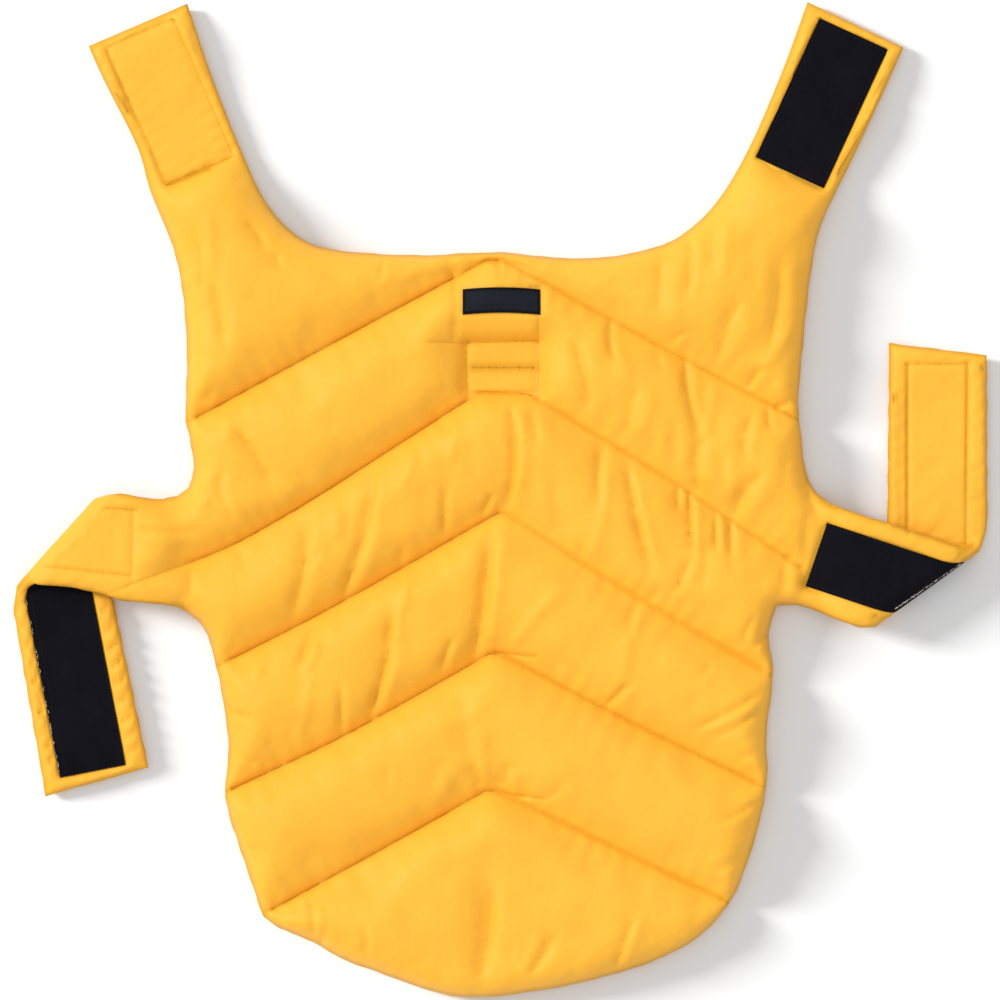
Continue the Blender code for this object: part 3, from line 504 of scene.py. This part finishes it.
def sculpt(piece, edge):
    points, normals = pointsOf(piece), normalsOf(piece)
    flat = points[:, :2]
    # how free the cloth is: not on a wall, beside a tape or under a band
    loose = ease((normals[:, 2] - 0.15) / 0.4) * ease((fromCovers(points) - 0.0006) / 0.0018)
    loose = loose * ~underBand(piece, points, normals)
    seam, along, side, _ = nearest(quiltLines + runOuts, flat)
    border, _, _, edgeOwner = nearest(edge[0], flat)
    backTape, backAlong, _, _ = nearest([boxLine(sewnBoxes["neckTapeLeft"])], flat)
    boxFar = nearest([boxLine(sewnBoxes["leashBox"])], flat)[0]
    besideSlot = inBox(sewnBoxes["leashSlot"], flat, 0.0015) | (boxFar < 0.004)
    loose = np.where(besideSlot & (points[:, 2] > 0.003), 1, loose)
    offSlot = ease(boxFar / 0.007) * ~inBox(sewnBoxes["leashBox"], flat)
    body = np.where(flat[:, 1] > 0.02, 0.2, 0.178)
    upper, fromMiddle = flat[:, 1] > panel["shoulder"], np.abs(flat[:, 0])
    body = np.where(upper, 1, ease((body - fromMiddle) / 0.02))
    band = 1 - np.where(upper, 1, ease((panel["bandStart"] - fromMiddle) / 0.02))
    border = np.where((band > 0.5) & (points[:, 2] - edge[1][edgeOwner] > 0.0085), 0.03, border)

    slope = np.clip(1 - np.minimum(seam, border) / panel["loftReach"], 0, 1)
    full = panel["fullness"] + panel["edgeFullness"] * ease((seam - border) / 0.014 + 0.5)
    lift = (0.8 * panel["loft"] * (slope ** 2 - slope ** full) * body
            * ease((0.185 - flat[:, 1]) / 0.03) * offSlot)
    soft = ease((flat[:, 0] + 0.004) / 0.02) * (0.25 + 0.75 * ease((flat[:, 1] + 0.085) / 0.03))
    lift += (0.0007 + 0.0027 * soft) * np.exp(-seam / 0.0065) * ease(border / 0.01) * body * offSlot
    lift += 0.0028 * np.exp(-(seam / 0.011) ** 2 - border / 0.011) * body * (flat[:, 0] > 0)
    wave = np.where(side > 0, ripple(along, panel["puckerSpacing"], 1.7),
                    ripple(along, 1.2 * panel["puckerSpacing"], 4.9))
    strength = 0.65 + 0.35 * mottle(flat, 0.04, 2.0)
    lift += (panel["pucker"] * wave * strength * np.clip(seam / 0.0025, 0, 1)
             * np.exp(-seam / panel["puckerReach"]) * body * offSlot)
    edgeWave = mottle(flat, panel["edgeSpacing"] / 5, 3.0) + 0.6 * mottle(flat, panel["edgeSpacing"] / 3, 5.0)
    lift += panel["edgePucker"] * (1 - 0.2 * band) * edgeWave * np.exp(-border / 0.006) * ease(border / 0.002)
    lift += 0.0004 * ripple(backAlong, 0.009, 0.6) * np.exp(-backTape / 0.004)
    lift += panel["unevenness"] * mottle(flat, 0.016, 1.0) * ease(seam / 0.012) * ease(border / 0.012)
    lift += 0.35 * panel["unevenness"] * mottle(flat, 0.0065, 4.0) * ease(seam / 0.008) * ease(border / 0.008)
    foldLift, trough = foldHeights(flat)
    lift += foldLift * ease(border / 0.004)
    lift -= panel["grooveDepth"] * (1 - 0.35 * soft) * np.exp(-(seam / panel["grooveWidth"]) ** 2) * body
    lift -= 0.0006 * np.exp(-(backTape / 0.0012) ** 2)
    for line, row in zip(pressedLines, sewnLines):
        far = nearest([line], flat)[0]
        lift -= row[4] * 0.001 * np.exp(-(far / (row[5] * 0.001)) ** 2)
    x, y, _, _, width = sewnBoxes["leashSlot"]
    slotEnds = ease((width / 2 + 0.004 - np.abs(flat[:, 0] - x)) / 0.0035)
    lips = np.exp(-((flat[:, 1] - y) / panel["slotReach"]) ** 2) * slotEnds
    lift -= panel["slotSink"] * lips
    lift += 0.0018 * np.exp(-boxFar / 0.006) * offSlot * ease((flat[:, 1] - y + 0.012) / 0.004)
    # the lips meet, but for a thread's width
    points[:, 1] -= (0.995 * (flat[:, 1] - y) * (np.abs(flat[:, 1] - y) < 0.0008) * slotEnds
                     * (points[:, 2] > 0.0015))
    sideWall = (np.abs(normals[:, 2]) < 0.6) & (points[:, 2] > 0.0004) & ~inBox(sewnBoxes["leashBox"], flat)
    crumple = 0.0003 * mottle(flat, 0.0032, 6.0) * sideWall * (flat[:, 1] < 0.14)
    crumple = crumple * (fromCovers(points) > panel["onTape"])
    points[:, :2] += normals[:, :2] * crumple[:, None]
    points[:, 2] += lift * loose
    points[:, 2] = np.where(normals[:, 2] > 0.3, np.maximum(points[:, 2], panel["leastHeight"]), points[:, 2])
    setPoints(piece, points)
    # painted shade in the fold troughs
    keep(piece, "trough", trough * loose)
    # painted shade along the turned edge, away from the tapes, the leash box and the left fold
    offFold = ease(nearest([leftFold], flat)[0] / 0.006 - 0.5)
    keep(piece, "rim", np.exp(-(border / 0.0016) ** 2) * (fromCovers(points) > panel["onTape"])
         * ~inBox(sewnBoxes["leashBox"], flat) * offFold)
    # strength of the painted shade along every seam, run-out, side of the left strap's stitched rectangle and
    # pressed line; the lower sides of the rectangle get more
    strap = boxLine(sewnBoxes["neckTapeLeft"])
    sides = [strap[k:k + 2] for k in range(4)]
    lines = quiltLines + runOuts + sides + pressedLines
    darkness = panel["seamShade"] + [panel["otherShade"]] * 15
    darkness += [0.9 if side[:, 1].mean() < sewnBoxes["neckTapeLeft"][1] - 0.03 else 0.35 for side in sides]
    darkness += [row[7] for row in sewnLines]
    breadth = panel["seamBreadth"] + [1.0] * (len(lines) - 10)
    far, _, _, owner = nearest(lines, flat)
    keep(piece, "seamAway", far / np.array(breadth)[owner])
    keep(piece, "seamShade", np.array(darkness)[owner] * loose * ease((0.006 - far) / 0.003))
    # painted shade on the lips of the leash slot
    keep(piece, "dip", lips * (points[:, 2] > 0.001))


def keep(piece, name, values):
    # a value at each point, for the finish to read
    layer = piece.data.attributes.new(name, "FLOAT", "POINT")
    layer.data.foreach_set("value", np.ascontiguousarray(values, np.float32))


def makePanel():
    piece = copyNode("quilted_panel", "quiltedShell")
    stuff(piece)
    print("panel filled")
    swapThin(piece)
    for level in range(6):
        points, ends = pointsOf(piece), edgeEnds(piece)
        seam = nearest(quiltLines + pressedLines + [boxLine(sewnBoxes["leashSlot"])], points[:, :2])[0]
        close = ((seam < 0.003) | (foldHeights(points[:, :2])[1] > 0.3)) & (points[:, 2] > 0.003)
        coarse = np.where(np.abs(points[:, 0]) > panel["bandStart"], panel["legShare"], 1) * panel["mesh"]
        limit = np.where(close, panel["fineMesh"], coarse)
        size = np.linalg.norm(points[ends[:, 0]] - points[ends[:, 1]], axis=1)
        refine(piece, (size > limit[ends].max(axis=1)) & (points[ends, 2].max(axis=1) > 0.0002))
        if level in (1, 3):
            relax(piece, ~sewnDown(piece, pointsOf(piece), normalsOf(piece)), 1 + 3 * level)
    edge = turnedEdge(piece)
    print("panel refined:", len(piece.data.polygons), "faces")
    sculpt(piece, edge)
    points, normals = pointsOf(piece), normalsOf(piece)
    offTape = fromCovers(points) > panel["onTape"]
    relax(piece, (points[:, 2] > 0.0012) & (normals[:, 2] > 0.35) & offTape, 1, 0.3)
    rough = nearest([boxLine(sewnBoxes["leashBox"]), leftFold], points[:, :2])[0] < 0.004
    relax(piece, (points[:, 2] > 0.003) & (normals[:, 2] > 0.1) & offTape & rough, 4)
    piece.data.shade_smooth()
    print("panel:", len(piece.data.polygons), "faces")
    return piece


quiltedShell = makePanel()
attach(quiltedShell, "root")
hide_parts("quilted_panel")


# ---- hook-and-loop tapes and the label, each a thin cloth on its solid's form

tape = {"width": 0.0362, "neckWidth": 0.0405, "leftLength": 0.1766, "rightLength": 0.1948,
        "pile": 0.00012, "selvedge": 0.0016}


def makeTape(node, name, levels):
    # a closed strip with a pile between two selvedges
    piece = copyNode(node, name)
    for _ in range(levels):
        ends, points = edgeEnds(piece), pointsOf(piece)
        refine(piece, np.linalg.norm(points[ends[:, 0]] - points[ends[:, 1]], axis=1) > 0.0021)
    points, normals = pointsOf(piece), normalsOf(piece)
    rim = [points[pair, :2] for pair in edgeEnds(piece) if (np.abs(normals[pair, 2]) < 0.75).all()]
    inner = nearest(rim, points[:, :2])[0] if rim else np.full(len(points), 0.01)
    nap = mottle(points[:, :2], 0.0009, 1.0) * ease((inner - tape["selvedge"]) / 0.0006)
    dip = np.exp(-((inner - tape["selvedge"]) / 0.0005) ** 2) + 0.5 * (inner < tape["selvedge"])
    points -= normals * (0.00012 + tape["pile"] * (dip - 0.6 * nap - 0.4))[:, None] * (normals[:, 2:] > 0.2)
    setPoints(piece, points)
    piece.data.shade_smooth()
    pickOnly(piece)
    bpy.ops.object.shade_smooth_by_angle(angle=radians(50))
    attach(piece, "root")
    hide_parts(node)
    return piece


neckTapeRight = makeTape("tape_neck_right", "neckTapeRight", 5)
neckTapeLeft = makeTape("tape_neck_left", "neckTapeLeft", 3)
bandTapeLeft = makeTape("tape_band_left", "bandTapeLeft", 3)
bandTapeRight = makeTape(
    "tape_band_right", "bandTapeRight", 3)
tapes = [neckTapeRight, neckTapeLeft, bandTapeLeft, bandTapeRight]
print("tapes:", [len(piece.data.polygons) for piece in tapes], "faces")


def makeLabel():
    # a bare woven tab with its ends turned under and its long edges drawn up in a slight arch
    piece = copyNode("label_tab", "labelTab")
    for _ in range(4):
        ends, points = edgeEnds(piece), pointsOf(piece)
        refine(piece, np.linalg.norm(points[ends[:, 0]] - points[ends[:, 1]], axis=1) > 0.0011)
    points, normals = pointsOf(piece), normalsOf(piece)
    x, y, _, length, width = sewnBoxes["label"]
    acrossTab, alongTab = (points[:, 1] - y) / (length / 2), (points[:, 0] - x) / (width / 2)
    points[:, 1] += 0.0010 * (1 - alongTab ** 2) - 0.0006
    fromEdge, fromEnd = np.abs(acrossTab), np.abs(alongTab)
    hem = np.exp(-((0.92 - fromEdge) / 0.07) ** 2) + np.exp(-((0.965 - fromEnd) / 0.02) ** 2)
    points[:, 2] -= 0.00022 * hem * (normals[:, 2] > 0.3)
    setPoints(piece, points)
    keep(piece, "hem", np.maximum(ease((fromEdge - 0.7) / 0.16), ease((fromEnd - 0.91) / 0.05)))
    piece.data.shade_smooth()
    pickOnly(piece)
    bpy.ops.object.shade_smooth_by_angle(angle=radians(50))
    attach(piece, "root")
    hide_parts("label_tab")
    return piece


labelTab = makeLabel()


# ---- stitches: one modelled, then laid along every sewn line

stitch = {"length": 0.0025, "gap": 0.0007, "thick": 0.00042}


def makeStitch():
    bpy.ops.object.select_all(action="DESELECT")
    bpy.ops.mesh.primitive_uv_sphere_add(segments=6, ring_count=5, radius=0.5)
    one = bpy.context.object
    bpy.ops.object.mode_set(mode="EDIT")
    bpy.ops.mesh.select_all(action="SELECT")
    bpy.ops.transform.rotate(value=pi / 2, orient_axis="Y", center_override=(0, 0, 0))
    size = (stitch["length"], stitch["thick"], stitch["thick"])
    bpy.ops.transform.resize(value=size, center_override=(0, 0, 0))
    bpy.ops.mesh.quads_convert_to_tris()
    bpy.ops.object.mode_set(mode="OBJECT")
    return one


oneStitch = makeStitch()
# Blender lists a sphere's faces in another order each run, so they are sorted
stitchFaces = sorted(tuple(face.vertices) for face in oneStitch.data.polygons)


def addPiece(name, points, faces):
    mesh = bpy.data.meshes.new(name)
    mesh.from_pydata(points, [], faces)
    mesh.shade_smooth()
    piece = bpy.data.objects.new(name, mesh)
    bpy.context.collection.objects.link(piece)
    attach(piece, "root")
    return piece


def layStitches(name, lines, ground, sink=0.3, seed=1):
    # copies the stitch along the lines, each lying on the cloth below it
    form = pointsOf(oneStitch)
    tree = treeOf(*ground)
    points, allFaces = [], []
    dice = np.random.default_rng(seed)
    pitch = stitch["length"] + stitch["gap"]
    for line in lines:
        runs = np.diff(line, axis=0)
        sizes = np.hypot(*runs.T)
        starts = np.concatenate(((0,), np.cumsum(sizes)))
        for place in np.arange(pitch / 2, starts[-1] - pitch / 3, pitch):
            k = min(np.searchsorted(starts, place, side="right") - 1, len(runs) - 1)
            middle = line[k] + runs[k] * (place - starts[k]) / sizes[k]
            forward = runs[k] / sizes[k]
            ends = []
            for step in (-0.5, 0.5):
                x, y = middle + forward * step * stitch["length"] * 0.8
                hit = tree.ray_cast(Vector((x, y, 0.1)), Vector((0, 0, -1)))
                ends.append(hit[0])
            if None in ends:
                continue
            along = (ends[1] - ends[0]).normalized()
            across = Vector((0, 0, 1)).cross(along).normalized()
            up = along.cross(across)
            turn = Matrix((along, across, up)).transposed()
            centre = (ends[0] + ends[1]) / 2 + up * stitch["thick"] * (0.5 - sink)
            slew = Matrix.Rotation(dice.normal(0, 0.05), 3, "Z")
            placed = form @ np.array(turn @ slew).T + np.array(centre)
            start = len(points)
            points += placed.tolist()
            allFaces += [tuple(start + n for n in face) for face in stitchFaces]
    print(name, len(allFaces), "faces")
    return addPiece(name, points, allFaces)


def pixelLine(*corners):
    return np.array([onTable(x, y) for x, y in corners])


quiltStitches = layStitches(
    "quiltStitches", quiltLines[:10], [quiltedShell], sink=0.8, seed=3)
clothStitches = layStitches(
    "clothStitches",
    [boxLine(sewnBoxes["neckTapeLeft"], 0.0004)]
    + [line for line, row in zip(pressedLines, sewnLines) if row[6]],
    [quiltedShell], sink=0.7, seed=5)
tapeStitches = layStitches(
    "tapeStitches",
    [boxLine(sewnBoxes["neckTapeRight"], 0.0017),
     pixelLine((30, 589), (67, 776), (124, 763), (91, 594)),
     pixelLine((831, 528), (809, 583), (884, 610)), pixelLine((831, 528), (925, 556))],
    [neckTapeRight, bandTapeLeft, bandTapeRight], seed=7)
labelStitches = layStitches(
    "labelStitches", [boxLine(sewnBoxes["label"], 0.0012)], [labelTab], seed=9)


def layFrays(name, start, end, count, size, spread, seed):
    # loose pale fibre ends along a tape's cut edge
    form = pointsOf(oneStitch) * np.array((size / stitch["length"], 0.45, 0.45))
    tree = treeOf(quiltedShell, bandTapeLeft, bandTapeRight)
    dice = np.random.default_rng(seed)
    points, allFaces = [], []
    first, last = onTable(*start), onTable(*end)
    forward = (last - first) / np.linalg.norm(last - first)
    sideways = np.array((-forward[1], forward[0]))
    for _ in range(count):
        x, y = first + (last - first) * dice.random() + sideways * dice.normal(0, 0.00015)
        hit = tree.ray_cast(Vector((x, y, 0.1)), Vector((0, 0, -1)))[0]
        if hit is None:
            continue
        swing = Matrix.Rotation(np.arctan2(forward[1], forward[0]) + dice.normal(0, spread), 3, "Z")
        lean = Matrix.Rotation(dice.normal(0, 0.2), 3, "Y")
        placed = form * dice.uniform(0.5, 1.2) @ np.array(swing @ lean).T + np.array((x, y, hit.z + 0.00008))
        begin = len(points)
        points += placed.tolist()
        allFaces += [tuple(begin + n for n in face) for face in stitchFaces]
    return addPiece(name, points, allFaces)


foldFrays = layFrays("foldFrays", (893.5, 608.5), (963.5, 560.5), 150, 0.0016, 1.0, 11)
legFrays = layFrays("legFrays", (27.6, 602), (60.2, 774), 40, 0.0024, 0.15, 13)
bpy.data.objects.remove(oneStitch)


# ---- materials

class Wire:
    # one output of a material's nodes; sums and products of wires add their own nodes
    def __init__(self, tree, socket=None):
        self.tree, self.socket = tree, socket

    def add(self, kind, settings=None, sockets=None, out=0):
        node = self.tree.nodes.new("ShaderNode" + kind)
        for name, value in (settings or {}).items():
            setattr(node, name, value)
        for name, value in (sockets or {}).items():
            if isinstance(value, Wire):
                self.tree.links.new(value.socket, node.inputs[name])
            else:
                node.inputs[name].default_value = value
        return Wire(self.tree, node.outputs[out])

    def maths(self, operation, *values):
        return self.add("Math", {"operation": operation}, dict(enumerate(values)))

    def __add__(self, other):
        return self.maths("ADD", self, other)

    def __sub__(self, other):
        return self.maths("SUBTRACT", self, other)

    def __rsub__(self, other):
        return self.maths("SUBTRACT", other, self)

    def __mul__(self, other):
        return self.maths("MULTIPLY", self, other)

    def __truediv__(self, other):
        return self.maths("DIVIDE", self, other)

    def __pow__(self, other):
        return self.maths("POWER", self, other)

    __radd__ = __add__

    def limited(self):
        return self.maths("MAXIMUM", self.maths("MINIMUM", self, 1.0), 0.0)

    def blend(self, low, high):
        # from the low colour to the high one as this value goes from 0 to 1
        return self.add("Mix", {"data_type": "RGBA"}, {0: self, 6: low, 7: high}, out=2)


def makeFinish(name, roughness, sheen, specular):
    # an empty finish: its tree, its shader and the place on the piece in metres
    finish = bpy.data.materials.new(name)
    finish.use_nodes = True
    tree = finish.node_tree
    shader = tree.nodes["Principled BSDF"]
    shader.inputs["Roughness"].default_value = roughness
    shader.inputs["Sheen Weight"].default_value = sheen
    shader.inputs["Sheen Roughness"].default_value = 0.5
    shader.inputs["Specular IOR Level"].default_value = specular
    place = Wire(tree).add("TexCoord", out=3)
    return finish, tree, shader, place


def noise(place, scale, detail=2.0, rough=0.5):
    return place.add("TexNoise", None,
                     {"Vector": place, "Scale": scale, "Detail": detail, "Roughness": rough})


def weave(place, pitch, turn=0.0):
    # threads over and under each other, from 0 to 1
    turned = place.add("Mapping", None,
                       {"Vector": place, "Rotation": (0, 0, turn), "Scale": (pi / pitch,) * 3})
    x, y = (turned.add("SeparateXYZ", None, {0: turned}, out=k) for k in (0, 1))
    warp, weft = x.maths("SINE", x), y.maths("SINE", y)
    return warp * weft * 0.5 + 0.5


def roughen(shader, tree, height, depth):
    bump = Wire(tree).add("Bump", None, {"Height": height, "Distance": depth, "Strength": 1.0})
    tree.links.new(bump.socket, shader.inputs["Normal"])


def clothFinish(name, deep, bright, sewn):
    finish, tree, shader, place = makeFinish(name, 0.5, 0.06, 0.3)
    threads = weave(place, 0.00042, radians(45))
    slubs = noise(place.add("Mapping", None, {"Vector": place, "Scale": (1, 0.12, 1)}), 900, 1)
    cloudy = noise(place, 26, 3, 0.55)
    crush = noise(place, 95, 3, 0.6)
    tone = (cloudy - 0.5) * 0.9 + (crush - 0.5) * 0.35 + (threads - 0.5) * 0.18 + (slubs - 0.5) * 0.25 + 0.5
    colour = tone.limited().blend(deep, bright)
    # painted shade: seams, fold troughs, the slot lips and the turned edge are blended towards the sewn tone
    away, dark, trough, dip, rim = (place.add("Attribute", {"attribute_name": part}, out=2)
                                    for part in ("seamAway", "seamShade", "trough", "dip", "rim"))
    line = away.maths("POWER", 2.718, (away / 0.0008) ** 2 * -1.0) * dark
    shade = line.maths("MINIMUM", line + trough * 0.5 + dip * 0.8 + rim * 0.9, 1.0)
    colour = shade.blend(colour, sewn)
    tree.links.new(colour.socket, shader.inputs["Base Color"])
    gloss = 0.46 + crush * 0.12 + threads * 0.05
    tree.links.new(gloss.socket, shader.inputs["Roughness"])
    roughen(shader, tree, threads * 0.00005 + slubs * 0.00004 + crush * 0.00045 + cloudy * 0.0006, 1.0)
    return finish


def tapeFinish(name, dark, light):
    finish, tree, shader, place = makeFinish(name, 0.9, 0.01, 0.03)
    nap = noise(place, 1500, 2, 0.7)
    tufts = place.add("TexVoronoi", None, {"Vector": place, "Scale": 1100, "Randomness": 0.8})
    worn = noise(place, 60, 3, 0.6)
    tone = (nap - 0.5) * 0.8 + (worn - 0.5) * 0.9 + 0.45
    tree.links.new(tone.limited().blend(dark, light).socket, shader.inputs["Base Color"])
    tree.links.new((0.68 + worn * 0.2).socket, shader.inputs["Roughness"])
    roughen(shader, tree, nap * 0.00018 + (1 - tufts) * 0.00014, 1.0)
    return finish


def labelFinish(name, dark, light):
    finish, tree, shader, place = makeFinish(name, 0.75, 0.02, 0.06)
    ribs = weave(place, 0.00055)
    fine = noise(place, 1400, 1)
    tone = (ribs * 0.6 + fine * 0.4) * (1 - place.add("Attribute", {"attribute_name": "hem"}, out=2) * 0.85)
    tree.links.new(tone.blend(dark, light).socket, shader.inputs["Base Color"])
    tree.links.new((0.55 + fine * 0.15).socket, shader.inputs["Roughness"])
    roughen(shader, tree, ribs * 0.00012 + fine * 0.00003, 1.0)
    return finish


def threadFinish(name, dark, light, roughness=0.5, specular=0.4):
    finish, tree, shader, place = makeFinish(name, roughness, 0.3 * specular, specular)
    turned = place.add("Mapping", None,
                       {"Vector": place, "Rotation": (0, 0, radians(30)), "Scale": (1, 0.35, 1)})
    strands = noise(turned, 2600, 1)
    tree.links.new(strands.blend(dark, light).socket, shader.inputs["Base Color"])
    tree.links.new((roughness + strands * 0.1).socket, shader.inputs["Roughness"])
    roughen(shader, tree, strands, 0.00006)
    return finish


# sewn is the darker golden tone of the painted shade along the seams, fold troughs, slot lips and turned edge
yellow = {"deep": (0.95, 0.440, 0.023, 1), "bright": (0.98, 0.505, 0.040, 1), "sewn": (0.66, 0.315, 0.002, 1)}
yellowCloth = clothFinish("yellowCloth", yellow["deep"], yellow["bright"], yellow["sewn"])
yellowThread = threadFinish("yellowThread", (0.66, 0.30, 0.004, 1), (0.82, 0.40, 0.010, 1))
blackPile = tapeFinish("blackPile", (0.0030, 0.0028, 0.0045, 1), (0.0095, 0.0090, 0.0135, 1))
blackThread = threadFinish("blackThread", (0.005, 0.005, 0.007, 1), (0.013, 0.013, 0.016, 1), 0.7, 0.12)
paleFibre = threadFinish("paleFibre", (0.60, 0.52, 0.40, 1), (0.86, 0.80, 0.70, 1), 0.6, 0.2)
blackWeave = labelFinish("blackWeave", (0.002, 0.0025, 0.003, 1), (0.020, 0.025, 0.038, 1))

for finish, pieces in ((yellowCloth, [quiltedShell]), (yellowThread, [quiltStitches, clothStitches]),
                       (blackPile, tapes),
                       (blackThread, [tapeStitches, labelStitches]), (blackWeave, [labelTab]),
                       (paleFibre, [foldFrays, legFrays])):
    for piece in pieces:
        piece.data.materials.append(finish)
print("finishes set")


# ---- floor, light and camera

# Each key light: direction and height in degrees, spread in degrees, share of the light on a level surface.
studio = {"clothKey": (153, 45, 14, 0.42), "floorKey": (162, 16, 15, 0.55), "fill": 0.75,
          "cameraHeight": 4.0, "floorTone": 0.86}


def addKeyLight(name, lit):
    # a far soft light from the upper left that falls on the listed objects
    turn, lean, spread = (radians(angle) for angle in studio[name][:3])
    away = Vector((cos(turn) * cos(lean), sin(turn) * cos(lean), sin(lean)))
    bpy.ops.object.light_add(type="SUN", location=away * 3)
    lamp = bpy.context.object
    lamp.name = name
    lamp.data.angle = spread
    lamp.data.energy = studio[name][3] * pi / sin(lean)
    lamp.rotation_euler = (-away).to_track_quat("-Z", "Y").to_euler()
    group = bpy.data.collections.new(name + "Lit")
    for item in lit:
        group.objects.link(item)
    lamp.light_linking.receiver_collection = group


def makeFloor():
    bpy.ops.object.select_all(action="DESELECT")
    bpy.ops.mesh.primitive_plane_add(size=6, location=(0, 0, 0))
    floor = bpy.context.object
    floor.name = "floor"
    finish, tree, shader, place = makeFinish("paleFloor", 0.9, 0.0, 0.2)
    dark, light = ((studio["floorTone"] + step,) * 3 + (1,) for step in (-0.006, 0.006))
    tone = noise(place, 14, 2).blend(dark, light)
    tree.links.new(tone.socket, shader.inputs["Base Color"])
    floor.data.materials.append(finish)
    return floor


floor = makeFloor()
dressed = [quiltedShell, *tapes, labelTab, quiltStitches, clothStitches, tapeStitches, labelStitches,
           foldFrays, legFrays]
addKeyLight("clothKey", dressed)
addKeyLight("floorKey", [floor])

world = bpy.data.worlds.new("studio")
bpy.context.scene.world = world
world.use_nodes = True
world.node_tree.nodes["Background"].inputs["Color"].default_value = (1, 1, 1, 1)
world.node_tree.nodes["Background"].inputs["Strength"].default_value = studio["fill"]

bpy.ops.object.camera_add(location=(0, 0, studio["cameraHeight"]), rotation=(0, 0, 0))
camera = bpy.context.object
camera.data.sensor_width = 36
camera.data.lens = 36 * studio["cameraHeight"] / (1000 * pixel)
bpy.context.scene.camera = camera
bpy.context.scene.view_settings.view_transform = "Standard"
bpy.context.scene.view_settings.look = "None"
